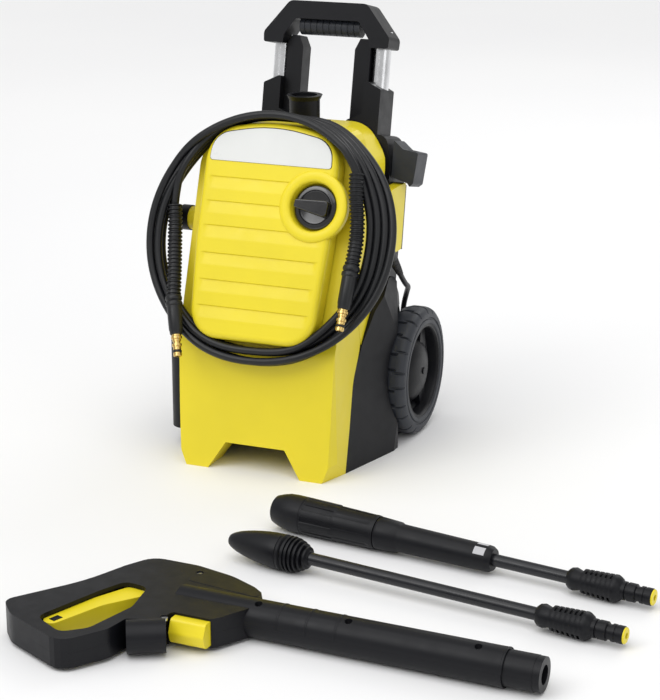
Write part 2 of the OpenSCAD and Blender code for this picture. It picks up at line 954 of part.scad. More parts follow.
module gun_shell_lower() {
    color(black)
        gun_place()
            intersection() {
                gun_body();
                translate([-700, -300, -60.05]) cube([800, 600, 60]);
            }
}

module gun_screws() {
    color("silver")
        gun_place()
            for (p = screw_places)
                translate([p.x, p.y, 0]) {
                    translate([0, 0, screw_head_z]) cylinder(h = 2.5, r = 4, $fn = 24);
                    translate([0, 0, -10]) cylinder(h = 23.5, r = 2, $fn = 24);
                }
}

module gun_hose_socket() {
    color(charcoal)
        gun_place()
            translate([hose_mouth.x, hose_mouth.y, 0])
                rotate([0, 90, hose_mouth_turn])
                    difference() {
                        translate([0, 0, 5]) cylinder(h = hose_mouth_depth - 5, r = 12, $fn = 48);
                        cylinder(h = hose_mouth_depth - 4, r = 7, $fn = 48);
                    }
}

module gun_lance_socket() {
    color(black)
        gun_place()
            difference() {
                union() {
                    barrel(14, -60, barrel_front);
                    barrel(19, barrel_front, 0);
                }
                barrel(10.5, -55, 5);
            }
}

trigger_axle_r = 3;

module trigger_axle() {
    color("silver")
        gun_place()
            translate([trigger_pin.x, trigger_pin.y, -16])
                cylinder(h = 32, r = trigger_axle_r, $fn = 32);
}

module trigger() {
    color(yellow)
        gun_place()
            difference() {
                translate([0, 0, -trigger_half])
                    linear_extrude(2 * trigger_half) polygon(fillet(trigger_outline));
                translate([trigger_pin.x, trigger_pin.y, -30])
                    cylinder(h = 60, r = trigger_axle_r + run_gap, $fn = 32);
                lock_slot(0.3);
            }
}

lock_at = [-512, -111];

module lock_slot(gap) {
    translate([lock_at.x, lock_at.y, -30])
        rotate([0, 0, -17])
            translate([-4 - gap, -6 - gap, 0]) cube([8 + 2 * gap, 12 + 2 * gap, 60]);
}

module trigger_lock() {
    color(black)
        gun_place()
            intersection() {
                lock_slot(0);
                translate([-600, -200, -trigger_half + 2]) cube([200, 300, 2 * trigger_half - 1.5]);
            }
}

module release_button() {
    color(yellow)
        gun_place()
            translate([button_box[0].x, 0, -14])
                rotate([90, 0, 90])
                    linear_extrude(button_box[1].x - button_box[0].x)
                        polygon(fillet([
                            [button_box[0].y, 0, 6], [button_box[1].y, 0, 2],
                            [button_box[1].y, 28, 2], [button_box[0].y + 2, 28, 4],
                            [button_box[0].y - 4, 14, 6]
                        ]));
}

// ---------------------------------------------------------------- lances

// Round body of a lance from pairs [along, radius], run along the lance's axis
module turned(p) {
    rotate([0, 90, 0])
        rotate_extrude($fn = 72)
            polygon(concat([[0, p[0].x]], [for (q = p) [q.y, q.x]], [[0, p[len(p) - 1].x]]));
}

module vario_place() {
    translate([vario_at.x, vario_at.y, sleeve_r + 1.14])
        rotate([0, vario_tilt, lance_turn]) children();
}

module rotor_place() {
    translate([rotor_at.x, rotor_at.y, bullet_r + 1.4])
        rotate([0, rotor_tilt, lance_turn]) children();
}

// The bayonet end that every lance shares, starting at its ribbed collar
module coupling(start) {
    color(black)
        difference() {
            union() {
                turned([
                    [start, 10], [start + 4, 13], [start + 40, 16], [start + 60, 16],
                    [start + 66, 12], [start + 66, 10.8], [start + 84, 10.8], [start + 84, 9],
                    [start + 88, 9], [start + 88, 10], [start + 104, 10]
                ]);
            }
            translate([start - 1, 0, 0])
                rotate([0, 90, 0]) cylinder(h = 50, r = lance_tube_r, $fn = 48);
            translate([start + 40, 0, 0])
                rotate([0, 90, 0]) cylinder(h = 80, r = 3.5, $fn = 32);
        }
}

module lance_pipe(x0, x1) {
    color("dimgray")
        translate([x0, 0, 0])
            rotate([0, 90, 0])
                difference() {
                    cylinder(h = x1 - x0, r = lance_tube_r, $fn = 48);
                    translate([0, 0, -1]) cylinder(h = x1 - x0 + 2, r = 3.5, $fn = 32);
                }
}

vario_core_r = 14;

module vario_tube() {
    vario_place() lance_pipe(290, 445);
}

module vario_body() {
    color(black)
        vario_place()
            difference() {
                turned([
                    [20, vario_core_r], [154, vario_core_r], [154, 19.5], [182, 18.6],
                    [184, 17.2], [190, 17], [300, 15.8], [306, 13]
                ]);
                translate([289, 0, 0]) rotate([0, 90, 0]) cylinder(h = 30, r = lance_tube_r, $fn = 48);
            }
}

module vario_sleeve() {
    color(black)
        vario_place()
            difference() {
                turned([
                    [9, 15], [11, 17.5], [18, 20], [27, 22.4], [36, sleeve_r], [96, sleeve_r - 0.6],
                    [98, sleeve_r - 1.4], [150, 20.6], [153.5, 20]
                ]);
                translate([18, 0, 0])
                    rotate([0, 90, 0]) cylinder(h = 150, r = vario_core_r + run_gap, $fn = 64);
                translate([-1, 0, 0]) rotate([0, 90, 0]) cylinder(h = 30, r = 7, $fn = 48);
            }
}

module vario_coupling() {
    vario_place() coupling(400);
}

module rotor_tube() {
    rotor_place() lance_pipe(100, 445);
}

module rotor_nozzle() {
    color(black)
        rotor_place()
            difference() {
                turned([
                    [0, 5], [4, 8.5], [14, 12.5], [30, 16.5], [48, 19.6], [60, 20.8], [72, 21]
                ]);
                translate([-1, 0, 0]) rotate([0, 90, 0]) cylinder(h = 20, r = 3, $fn = 32);
            }
}

module rotor_cage() {
    color(black)
        rotor_place()
            difference() {
                turned([
                    [72.1, 20.8], [76, 21.3], [80, bullet_r], [92, bullet_r], [100, 17.5], [110, 11]
                ]);
                translate([99, 0, 0]) rotate([0, 90, 0]) cylinder(h = 30, r = lance_tube_r, $fn = 48);
            }
}

module rotor_coupling() {
    rotor_place() coupling(398);
}

front_cover();
front_plate();
badge_plate();
main_housing();
rear_cover();
chassis();
side_panel_right();
side_panel_left();
holder_right();
holder_left();
upright_right();
upright_left();
hose_hook();
outlet_collar();
outlet_socket();
outlet_pipe();
water_inlet();
motor_housing();
pump_head();
switch_box();
axle();
cover_screws();
hose_coil();
hose_sleeve_right();
hose_sleeve_left();
hose_nipple_right();
hose_nipple_left();
strain_relief();
mains_cable();
mains_coil();
mains_tail();
cable_tie();
plug();
plug_pins();
power_knob();
tyre_right();
rim_right();
tyre_left();
rim_left();
handle_grip();
grip_insert();
handle_tubes();
motor_rotor();
gun_shell_upper();
gun_shell_lower();
gun_screws();
gun_hose_socket();
gun_lance_socket();
trigger_axle();
trigger();
trigger_lock();
release_button();
vario_tube();
vario_body();
vario_coupling();
vario_sleeve();
rotor_tube();
rotor_nozzle();
rotor_cage();
rotor_coupling();
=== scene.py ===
import json
import math

import bmesh
import bpy
from mathutils import Euler, Matrix, Vector


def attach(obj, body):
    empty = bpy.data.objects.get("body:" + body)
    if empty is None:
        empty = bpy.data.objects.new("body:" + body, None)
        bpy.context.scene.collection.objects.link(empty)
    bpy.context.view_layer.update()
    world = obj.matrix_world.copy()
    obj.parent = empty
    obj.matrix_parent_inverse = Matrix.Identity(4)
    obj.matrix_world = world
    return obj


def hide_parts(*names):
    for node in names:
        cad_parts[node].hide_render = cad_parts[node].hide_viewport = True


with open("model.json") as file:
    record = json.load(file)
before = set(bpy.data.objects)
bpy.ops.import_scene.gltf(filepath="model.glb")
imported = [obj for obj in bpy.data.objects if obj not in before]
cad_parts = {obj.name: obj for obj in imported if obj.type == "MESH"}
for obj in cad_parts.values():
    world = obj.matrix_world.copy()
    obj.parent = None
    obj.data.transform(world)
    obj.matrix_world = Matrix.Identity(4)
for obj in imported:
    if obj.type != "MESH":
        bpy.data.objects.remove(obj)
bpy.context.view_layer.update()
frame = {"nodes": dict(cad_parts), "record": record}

MM = 0.001
BODY_OF = {n: b for b, names in frame["record"]["behaviour"]["bodies"].items() for n in names}
SLOT_OF = {s["node"]: s["material_slot"] for s in frame["record"]["subparts"]}


# ---------------------------------------------------------------- places, as in the CAD

def place(x, y, z, *turns):
    """A matrix that turns about the given axes, first to last, and then moves to x, y, z in mm."""
    m = Matrix.Identity(4)
    for axis, angle in turns:
        m = Matrix.Rotation(math.radians(angle), 4, axis) @ m
    return Matrix.Translation(Vector((x, y, z)) * MM) @ m


ON_FACE = place(0, -98, 405, ("X", 90 - 19))
ON_GUN = place(538, -656, 21.5, ("Z", -2.3))
ON_VARIO = place(94, -346, 24.14, ("Y", 1), ("Z", -7.6))
ON_ROTOR = place(91.5, -455, 22.9, ("Y", 0.86), ("Z", -7.6))
KNOB = (67, -59)
ON_KNOB = ON_FACE @ place(*KNOB, 0, ("Z", -6))
TO_Z = Matrix.Rotation(math.radians(-90), 4, "Y")


def at(matrix, x, y, z):
    return matrix @ (Vector((x, y, z)) * MM)


# ---------------------------------------------------------------- camera

def make_camera():
    data = bpy.data.cameras.new("camera")
    data.lens, data.sensor_width, data.clip_start = 102.857, 36, 0.05
    camera = bpy.data.objects.new("camera", data)
    camera.location = (1.0384167, -2.4472058, 0.9356445)
    camera.rotation_euler = Euler((math.radians(90 - 17.106), 0, math.radians(22.354)))
    bpy.context.scene.collection.objects.link(camera)
    bpy.context.scene.camera = camera


# ---------------------------------------------------------------- materials

class Maker:
    """Builds one node material step by step."""

    def __init__(self, name):
        self.mat = bpy.data.materials.new(name)
        self.mat.use_nodes = True
        self.nodes, self.links = self.mat.node_tree.nodes, self.mat.node_tree.links
        self.shader = self.nodes["Principled BSDF"]
        self.coords = self.nodes.new("ShaderNodeTexCoord").outputs["Object"]

    def noise(self, scale, detail=3, stretch=(1, 1, 1)):
        mapping = self.nodes.new("ShaderNodeMapping")
        mapping.inputs["Scale"].default_value = stretch
        tex = self.nodes.new("ShaderNodeTexNoise")
        tex.inputs["Scale"].default_value = scale
        tex.inputs["Detail"].default_value = detail
        self.links.new(self.coords, mapping.inputs["Vector"])
        self.links.new(mapping.outputs["Vector"], tex.inputs["Vector"])
        return tex.outputs["Fac"]

    def ramp(self, value, low, high, a, b):
        node = self.nodes.new("ShaderNodeMapRange")
        for i, v in enumerate((low, high, a, b), 1):
            node.inputs[i].default_value = v
        self.links.new(value, node.inputs[0])
        return node.outputs[0]

    def mix(self, value, a, b):
        node = self.nodes.new("ShaderNodeMix")
        node.data_type = "RGBA"
        node.inputs[6].default_value = (*a, 1)
        node.inputs[7].default_value = (*b, 1)
        self.links.new(value, node.inputs[0])
        return node.outputs[2]

    def edges(self):
        """How worn a place is: up to 0.4 on sharp convex edges and 0 elsewhere."""
        geometry = self.nodes.new("ShaderNodeNewGeometry")
        return self.ramp(geometry.outputs["Pointiness"], 0.6, 0.85, 0, 0.4)

    def set(self, **values):
        for name, value in values.items():
            socket = self.shader.inputs[name.replace("_", " ")]
            if hasattr(value, "is_output"):
                self.links.new(value, socket)
            else:
                socket.default_value = (*value, 1) if isinstance(value, tuple) else value

    def bump(self, height, strength, distance):
        node = self.nodes.new("ShaderNodeBump")
        node.inputs["Strength"].default_value = strength
        node.inputs["Distance"].default_value = distance
        self.links.new(height, node.inputs["Height"])
        self.links.new(node.outputs["Normal"], self.shader.inputs["Normal"])


def moulded(name, colour, worn, rough, grain, strength, **extra):
    """Injection-moulded plastic or rubber: slight shade changes, paler edges and a fine grain."""
    m = Maker(name)
    cloud = m.ramp(m.noise(9, 4), 0.35, 0.65, 0, 1)
    low = tuple(0.94 * c for c in colour)
    shade = m.mix(cloud, low, colour)
    edge = m.nodes.new("ShaderNodeMix")
    edge.data_type = "RGBA"
    edge.inputs[7].default_value = (*worn, 1)
    m.links.new(m.edges(), edge.inputs[0])
    m.links.new(shade, edge.inputs[6])
    m.set(
        Base_Color=edge.outputs[2],
        Roughness=m.ramp(m.noise(55, 5), 0.3, 0.7, rough - 0.05, rough + 0.06)
    )
    m.set(**extra)
    m.bump(m.noise(grain, 2), strength, 0.0002)
    return m.mat


def metal(name, colour, rough, stretch, **extra):
    """Bare metal with fine drawn or turned lines and a few duller patches."""
    m = Maker(name)
    lines = m.noise(700, 2, stretch)
    patch = m.ramp(m.noise(25, 4), 0.35, 0.7, 0, 1)
    m.set(
        Base_Color=m.mix(patch, colour, tuple(0.82 * c for c in colour)), Metallic=1.0,
        Roughness=m.ramp(lines, 0.3, 0.7, rough - 0.06, rough + 0.1)
    )
    m.set(**extra)
    m.bump(lines, 0.12, 0.0001)
    return m.mat


# Each plastic's colour is followed by the paler colour of its worn edges.
BLACK = (0.005, 0.0053, 0.0072), (0.018, 0.019, 0.023)
CHARCOAL = (0.022, 0.025, 0.033), (0.055, 0.06, 0.075)
MATERIALS = {
    "yellow_shell": moulded("yellow plastic", (0.83, 0.68, 0.018), (0.9, 0.77, 0.08), 0.38, 1500, 0.12,
                            Specular_IOR_Level=0.4, Coat_Weight=0.08, Coat_Roughness=0.3),
    "black_shell": moulded("black plastic", *BLACK, 0.4, 1900, 0.3, Specular_IOR_Level=0.24),
    "charcoal_shell": moulded("charcoal plastic", *CHARCOAL, 0.44, 1900, 0.3, Specular_IOR_Level=0.4),
    "badge_white": moulded("white badge", (0.74, 0.75, 0.73), (0.85, 0.85, 0.85), 0.32, 1200, 0.05),
    "gloss_black": moulded("gloss black", (0.006, 0.006, 0.007), (0.02, 0.02, 0.022), 0.16, 800, 0.03,
                           Coat_Weight=0.6, Coat_Roughness=0.08),
    "tyre_rubber": moulded("tyre rubber", (0.026, 0.0295, 0.038), (0.06, 0.065, 0.08), 0.5, 1300, 0.4,
                           Specular_IOR_Level=0.45),
    "hose_rubber": moulded("hose rubber", (0.007, 0.0075, 0.009), (0.02, 0.021, 0.024), 0.38, 1600,
                           0.15, Specular_IOR_Level=0.4),
    "cable_rubber": moulded("cable rubber", (0.012, 0.012, 0.014), (0.03, 0.031, 0.035), 0.5, 1600, 0.2),
    "lance_tube": moulded("tube sleeve", (0.01, 0.0105, 0.013), (0.028, 0.029, 0.033), 0.3, 900,
                          0.08, Specular_IOR_Level=0.4),
    "motor_metal": moulded("motor paint", (0.07, 0.072, 0.078), (0.15, 0.15, 0.16), 0.45, 900, 0.2),
    "brass": metal("brass", (0.78, 0.55, 0.2), 0.2, (1, 1, 1)),
    "steel": metal("zinc steel", (0.62, 0.62, 0.63), 0.28, (1, 1, 1)),
    "plated_pin": metal("nickel", (0.72, 0.71, 0.69), 0.18, (1, 1, 1)),
    "tube_aluminium": metal("aluminium", (0.84, 0.845, 0.86), 0.2, (1, 1, 0.03)),
    "cast_alloy": metal("cast alloy", (0.55, 0.56, 0.58), 0.45, (1, 1, 1)),
}
# Painted shade: a matte near-black finish for the sheet that stands for the shade in the gap round the
# badge.
PAINTED_GAP_SHADE = moulded("painted gap shade", (0.003, 0.003, 0.003), (0.006, 0.006, 0.006), 0.8, 900, 0.05)
LABEL = moulded("pale print", (0.5, 0.5, 0.52), (0.6, 0.6, 0.6), 0.45, 900, 0.05)


# ---------------------------------------------------------------- making pieces

def smooth_by_angle(obj, degrees):
    for polygon in obj.data.polygons:
        polygon.use_smooth = True
    mesh = bmesh.new()
    mesh.from_mesh(obj.data)
    for edge in mesh.edges:
        faces = edge.link_faces
        if len(faces) != 2 or faces[0].normal.angle(faces[1].normal, 0) > math.radians(degrees):
            edge.smooth = False
    mesh.to_mesh(obj.data)
    mesh.free()


def piece(name, mesh, matrix, node, slot=None, material=None, replace=True, angle=35):
    """Makes an object from a bmesh in metres and ties it to the node that it details."""
    bmesh.ops.recalc_face_normals(mesh, faces=mesh.faces)
    data = bpy.data.meshes.new(name)
    mesh.to_mesh(data)
    mesh.free()
    data.transform(matrix)
    obj = bpy.data.objects.new(name, data)
    bpy.context.scene.collection.objects.link(obj)
    smooth_by_angle(obj, angle)
    finish_piece(obj, node, slot, material, replace)
    return obj


def finish_piece(obj, node, slot, material, replace):
    slot = slot or SLOT_OF[node]
    obj.data.materials.append(material or MATERIALS[slot])
    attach(obj, BODY_OF[node])
    if replace:
        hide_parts(node)


def bevel(obj, width, segments=3, angle=30):
    modifier = obj.modifiers.new("soft edges", "BEVEL")
    modifier.width = width * MM
    modifier.segments = segments
    modifier.limit_method = "ANGLE"
    modifier.angle_limit = math.radians(angle)
    modifier.harden_normals = True
    return obj


def lathe(profile, steps, radius_at=None):
    """A round body about the x axis from closed [along, radius] points in mm.

    radius_at(x, r, angle) may change the radius from place to place.
    """
    mesh = bmesh.new()
    rings = []
    for k in range(steps):
        a = 2 * math.pi * k / steps
        ring = []
        for x, r in profile:
            s = radius_at(x, r, a) if radius_at else r
            ring.append(mesh.verts.new(Vector((x, s * math.cos(a), s * math.sin(a))) * MM))
        rings.append(ring)
    n = len(profile)
    for k in range(steps):
        one, two = rings[k], rings[(k + 1) % steps]
        for i in range(n):
            j = (i + 1) % n
            mesh.faces.new((one[i], one[j], two[j], two[i]))
    bmesh.ops.remove_doubles(mesh, verts=mesh.verts, dist=1e-6)
    return mesh


def prism(outline, low, high):
    """A solid over an [x, y] outline in mm, from z low to z high."""
    mesh = bmesh.new()
    bottom = [mesh.verts.new(Vector((x, y, low)) * MM) for x, y in outline]
    top = [mesh.verts.new(Vector((x, y, high)) * MM) for x, y in outline]
    mesh.faces.new(bottom[::-1])
    mesh.faces.new(top)
    n = len(outline)
    for i in range(n):
        j = (i + 1) % n
        mesh.faces.new((bottom[i], bottom[j], top[j], top[i]))
    return mesh


def rounded(points, steps=6):
    """An outline whose [x, y, r] corners are rounded."""
    out = []
    n = len(points)
    for i, (x, y, r) in enumerate(points):
        here = Vector((x, y))
        u = (Vector(points[i - 1][:2]) - here).normalized()
        v = (Vector(points[(i + 1) % n][:2]) - here).normalized()
        half = u.angle(v) / 2
        if r == 0:
            out.append(here)
            continue
        mid = here + (u + v).normalized() * r / math.sin(half)
        start = here + u * r / math.tan(half) - mid
        bend = start.angle_signed(here + v * r / math.tan(half) - mid)
        for k in range(steps + 1):
            turn = Matrix.Rotation(-bend * k / steps, 2)
            out.append(mid + turn @ start)
    return [tuple(p) for p in out]


def between(p, i, t):
    a, b, c, d = p[max(i - 1, 0)], p[i], p[i + 1], p[min(i + 2, len(p) - 1)]
    return 0.5 * (2 * b + (c - a) * t + (2 * a - 5 * b + 4 * c - d) * t * t
                  + (3 * b - a - 3 * c + d) * t ** 3)


def through(points, steps):
    """Points along a smooth line through the given ones."""
    p = [Vector(q) for q in points]
    out = [between(p, i, k / steps) for i in range(len(p) - 1) for k in range(steps)]
    return out + [p[-1]]


def cord_curve(name, points, radius, node, *more):
    """One open round spline in metres through the points."""
    data = bpy.data.curves.new(name, "CURVE")
    data.dimensions, data.bevel_depth, data.bevel_resolution = "3D", radius, 4
    data.use_fill_caps = True
    spline = data.splines.new("POLY")
    spline.points.add(len(points) - 1)
    for p, q in zip(spline.points, points):
        p.co = (*q, 1)
    spline.use_smooth = True
    obj = bpy.data.objects.new(name, data)
    bpy.context.scene.collection.objects.link(obj)
    finish_piece(obj, node, None, None, True)
    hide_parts(*more)
    return obj


def sweep(points, radius_at, sides=20):
    """A round mesh along points in metres, whose radius in mm depends on the distance run in mm."""
    mesh = bmesh.new()
    rings, run = [], 0.0
    side = Vector((0.3, 0.2, 1)).normalized()
    for i, p in enumerate(points):
        ahead = (points[min(i + 1, len(points) - 1)] - points[max(i - 1, 0)]).normalized()
        side = (side - ahead * side.dot(ahead)).normalized()
        other = ahead.cross(side)
        if i:
            run += (p - points[i - 1]).length / MM
        r = radius_at(run) * MM
        rings.append([
            mesh.verts.new(p + r * (math.cos(2 * math.pi * k / sides) * side
                                    + math.sin(2 * math.pi * k / sides) * other))
            for k in range(sides)
        ])
    for one, two in zip(rings, rings[1:]):
        for k in range(sides):
            j = (k + 1) % sides
            mesh.faces.new((one[k], one[j], two[j], two[k]))
    mesh.faces.new(rings[0])
    mesh.faces.new(rings[-1][::-1])
    return mesh


def ribs(base, height, pitch, fraction=0.55):
    """A radius with rounded ribs: base between them, and base + height on them."""
    def radius(run):
        phase = (run % pitch) / pitch
        if phase > fraction:
            return base
        return base + height * min(1, 2.2 * math.sin(math.pi * phase / fraction))
    return radius


def fine(points, step):
    """The same line with points about step metres apart."""
    out = [points[0]]
    for a, b in zip(points, points[1:]):
        n = max(1, round((b - a).length / step))
        out += [a.lerp(b, k / n) for k in range(1, n + 1)]
    return out


# ---------------------------------------------------------------- the high-pressure hose

HOSE_R = 5.2
RING_CENTRE = (5, -105)
RING_RADII = (173, 165)
# Each turn of the hose round the front plate passes these angles. Four turns lie beside and behind
# each other. d is how far a turn lies inside the bundle's outer edge, n how far out from the face.
TURN_KEYS = [
    (113, (-2, -2, -4, -9), (21, 10.5, 1, -10.5)),
    (90, (0, 0, 0, 0), (21, 10.5, 1, -10.5)),
    (67, (0, 0, -4, -9), (21, 10.5, 1, -10.5)),
    (50, (6, 3, 0, -3), (20.5, 12, 4, -5)),
    (38, (19, 11, 4, -3), (17, 12, 5, -3)),
    (0, (31, 20.8, 10.4, 0), (8, 8, 8, 8)),
    (-45, (22, 16.5, 6, 0), (17, 7, 7, 16)),
    (-66, (10.5, 10.5, 0, 0), (18, 7, 7.5, 18)),
    (-90, (14, 14, 0, 0), (18.5, 8, 7.5, 18.5)),
    (-118, (5.5, 8, -2.5, -5), (18, 7, 7, 17.5)),
    (-142, (9, 10.5, 0, -1), (17, 6.5, 7, 17.5)),
    (-180, (12.4, 12.4, 0, 0), (18, 7.5, 7.5, 18)),
    (-212, (11, 10, -1, 0), (17.5, 6.5, -2, 22)),
    (-221, (8, 7, -6, -2), (14, 3, -6, 27)),
    (-230, (2, 1, -12, 0), (10, -0.5, -9, 31)),
]
HOSE_START_KEYS = [(157, 20, 22), (148, 14, 29), (139, 9, 24.5), (130, 2, 20.5)]
HOSE_END_KEYS = [(113, 0, 31), (90, 0, 31), (67, 3, 31), (50, 8, 31)]
LEFT_SLEEVE = [(-97.5, -243, 37), (-111, -195, 31), (-119, -155, 23), (-125, -125, 18),
               (-130, -95, 15), (-134, -72, 14)]
RIGHT_SLEEVE = [(121, -12, 27), (124, -40, 26), (128, -70, 22), (130, -100, 22),
                (130, -132, 27), (129, -186, 34.5)]
LEFT_TIP, RIGHT_TIP = (-90, -271, 40), (128.5, -214, 38.4)


def ring_point(angle, d, n):
    a = math.radians(angle)
    edge = 1 / math.hypot(math.cos(a) / RING_RADII[0], math.sin(a) / RING_RADII[1])
    r = edge - HOSE_R - d
    return Vector((RING_CENTRE[0] + r * math.cos(a), RING_CENTRE[1] + r * math.sin(a), n))


def hose_line():
    keys = list(HOSE_START_KEYS)
    for turn in range(4):
        keys += [(a - 360 * turn, d[turn], n[turn]) for a, d, n in TURN_KEYS]
    keys += [(a - 360 * 4, d, n) for a, d, n in HOSE_END_KEYS]
    ring, step = [], 5
    for (a, d, n), (b, e, m) in zip(keys, keys[1:]):
        count = max(1, round((a - b) / step))
        ring += [(a + (b - a) * k / count, d + (e - d) * k / count, n + (m - n) * k / count)
                 for k in range(count)]
    ring.append(keys[-1])
    for _ in range(4):
        ring = [ring[0]] + [
            (b[0], (a[1] + 2 * b[1] + c[1]) / 4, (a[2] + 2 * b[2] + c[2]) / 4)
            for a, b, c in zip(ring, ring[1:], ring[2:])
        ] + [ring[-1]]
    path = LEFT_SLEEVE + [tuple(ring_point(*k)) for k in ring] + RIGHT_SLEEVE
    return [at(ON_FACE, *p) for p in through(path, 3)]


def nipple(name, start, end, node):
    """A turned brass nipple with a collar, two grooves and a dark sealing ring near its tip."""
    a, b = at(ON_FACE, *start), at(ON_FACE, *end)
    turn = (b - a).to_track_quat("X", "Z").to_matrix().to_4x4()
    length = (b - a).length / MM
    profile = [
        (-4, 0), (-4, 6.2), (2, 6.2), (2.6, 7.2), (5.6, 7.2), (6.2, 5.6), (9, 5.6), (9.4, 4.6),
        (12, 4.6), (12.4, 6.4), (15.6, 6.4), (16.2, 5.2), (length - 9, 5.2), (length - 8.6, 4.4),
        (length - 5.4, 4.4), (length - 5, 5.6), (length - 1, 5.6), (length, 4.6),
        (length, 2.6), (length - 8, 2.6), (length - 8, 0)
    ]
    body = piece(name, lathe(profile, 40), Matrix.Translation(a) @ turn, node)
    seal = [(8.4, 4.2), (8.2, 5.6), (7, 6.0), (5.8, 5.6), (5.6, 4.2)]
    seal = [(length - back, r) for back, r in seal]
    ring = piece(name + "_seal", lathe(seal, 36), Matrix.Translation(a) @ turn, node,
                 "hose_rubber", replace=False)
    return [body, ring]


def sleeve(name, route, cone, node):
    """The ribbed bend guard and the smooth grip before a nipple."""
    line = [at(ON_FACE, *p) for p in through(route, 10)]
    guard = piece(name, sweep(fine(line, 0.0007), ribs(8.1, 1.7, 5.2)), Matrix.Identity(4), node)
    a, b = (at(ON_FACE, *p) for p in cone)
    turn = (b - a).to_track_quat("X", "Z").to_matrix().to_4x4()
    length = (b - a).length / MM
    profile = [
        (-3, 0), (-3, 9.2), (-1.5, 10.6), (1, 11.2), (3.5, 10.8), (4.6, 9.6), (5.2, 9.4), (6, 10.6),
        (8, 11.4), (11, 11.2), (12, 10.2), (12.6, 9.8), (14, 9.9), (length * 0.5, 9.7),
        (length * 0.86, 9.2), (length * 0.9, 8.6), (length - 1, 8.2), (length, 7.2), (length, 0)
    ]
    grip = piece(name + "_grip", lathe(profile, 48), Matrix.Translation(a) @ turn, node,
                 "hose_rubber", replace=False)
    return [guard, grip]


def make_hose():
    line = hose_line()
    hose = cord_curve("pressure_hose", line, HOSE_R * MM, "hose_coil")
    left_route, left_grip = LEFT_SLEEVE[:0:-1], (LEFT_SLEEVE[1], LEFT_SLEEVE[0])
    right_route, right_grip = RIGHT_SLEEVE[:-1], RIGHT_SLEEVE[-2:]
    parts = sleeve("hose_guard_left", left_route, left_grip, "hose_sleeve_left")
    parts += sleeve("hose_guard_right", right_route, right_grip, "hose_sleeve_right")
    parts += nipple("nipple_left", LEFT_SLEEVE[0], LEFT_TIP, "hose_nipple_left")
    parts += nipple("nipple_right", RIGHT_SLEEVE[-1], RIGHT_TIP, "hose_nipple_right")


# ---------------------------------------------------------------- the mains cable

CABLE_R = 3.75
CABLE_ROUTE = [
    (125, 16, 243), (125, 32, 227), (123, 52, 213), (118, 76, 202), (109, 96, 188),
    (101, 106, 165), (97, 110, 130), (95, 112, 90), (93, 114, 52), (90, 120, 24),
    (82, 130, 9), (70, 142, 4.2), (60, 156, 4.2)
]
COIL_AT = (-6, 172)
COIL_LOW, COIL_HIGH, COIL_LAYERS, TURNS_IN_LAYER = 33.8, 56.3, 4, 4
TAIL_ROUTE = [(-62, 146, 20), (-57, 132, 14), (-53, 121, 14), (-52, 113, 15.5)]
PLUG = place(-52, 113, 17, ("X", 90), ("Z", 8))


def coil_line():
    """Four layers of four turns, wound in and out."""
    pitch, out = 2 * CABLE_R, []
    per_turn, turns = 24, COIL_LAYERS * TURNS_IN_LAYER - 0.42
    for k in range(int(turns * per_turn) + 1):
        turn = k / per_turn
        layer = min(int(turn / TURNS_IN_LAYER), COIL_LAYERS - 1)
        share = turn / TURNS_IN_LAYER - layer
        rise = max(0, (share - 0.94) / 0.06) if layer < COIL_LAYERS - 1 else 0
        share = min(share / 0.94, 1) if layer < COIL_LAYERS - 1 else share
        span = COIL_HIGH - COIL_LOW
        r = COIL_HIGH - span * share if layer % 2 == 0 else COIL_LOW + span * share
        a = 2 * math.pi * turn - 0.1
        out.append((COIL_AT[0] + r * math.cos(a), COIL_AT[1] + r * math.sin(a),
                    4.2 + pitch * (layer + rise)))
    return out


def make_cable():
    points = through(CABLE_ROUTE, 4) + [Vector(p) for p in coil_line()]
    points += through(TAIL_ROUTE, 4)
    line = [p * MM for p in points]
    cable = cord_curve("mains_lead", line, CABLE_R * MM, "mains_cable", "mains_coil", "mains_tail")
    start, end = Vector((123, -14, 273)) * MM, Vector(CABLE_ROUTE[0]) * MM
    past_end = end.lerp(Vector(CABLE_ROUTE[1]) * MM, 0.6)
    guard_line = fine([start, start.lerp(end, 0.45), end, past_end], 0.6 * MM)
    total = sum((b - a).length for a, b in zip(guard_line, guard_line[1:])) / MM

    def guard_radius(run):
        base = 8.6 - 4.2 * run / total
        return ribs(base - 0.9, 0.9, 4.4, 0.6)(run) if run > 14 else base

    guard = piece("cable_guard", sweep(guard_line, guard_radius), Matrix.Identity(4), "strain_relief")
    body = [
        (0, 0), (0, 4.6), (6, 6.2), (8, 8.6), (20, 12.6), (27, 15.4), (29, 17), (43, 17), (44, 16),
        (44, 0)
    ]

    def flattened(x, r, a):
        return r * (1 - 0.09 * (r > 8) * math.cos(2 * a) ** 2)

    plug = piece("plug_body", lathe(body, 48, flattened), PLUG @ TO_Z, "plug")
    tie = prism(rounded([(-19, 0, 3), (19, 0, 3), (19, 33, 5), (-19, 33, 5)]), -5, 5)
    caps = [f for f in tie.faces if len(f.verts) > 8]
    bmesh.ops.inset_region(tie, faces=caps, thickness=1.4 * MM)
    caps = [f for f in tie.faces if len(f.verts) > 8]
    bmesh.ops.bridge_loops(tie, edges=[e for f in caps for e in f.edges])
    bmesh.ops.delete(tie, geom=caps, context="FACES")
    band = piece("coil_tie", tie, place(-6, 217, 1.1, ("X", 90), ("Z", 90)), "cable_tie")


# ---------------------------------------------------------------- front plate, badge and knob

PLATE = [(-87, -241.5, 40), (87, -241.5, 40), (94, -110, 200), (94, 31, 50), (0, 50, 260),
         (-94, 31, 50), (-94, -110, 200)]
PLATE_RISE, PLATE_EDGE = 26.5, 8
LAPS, LAP_HEIGHT, LAP_DEPTH = (-30, -62, -94, -130, -165, -199), 17, 1.9


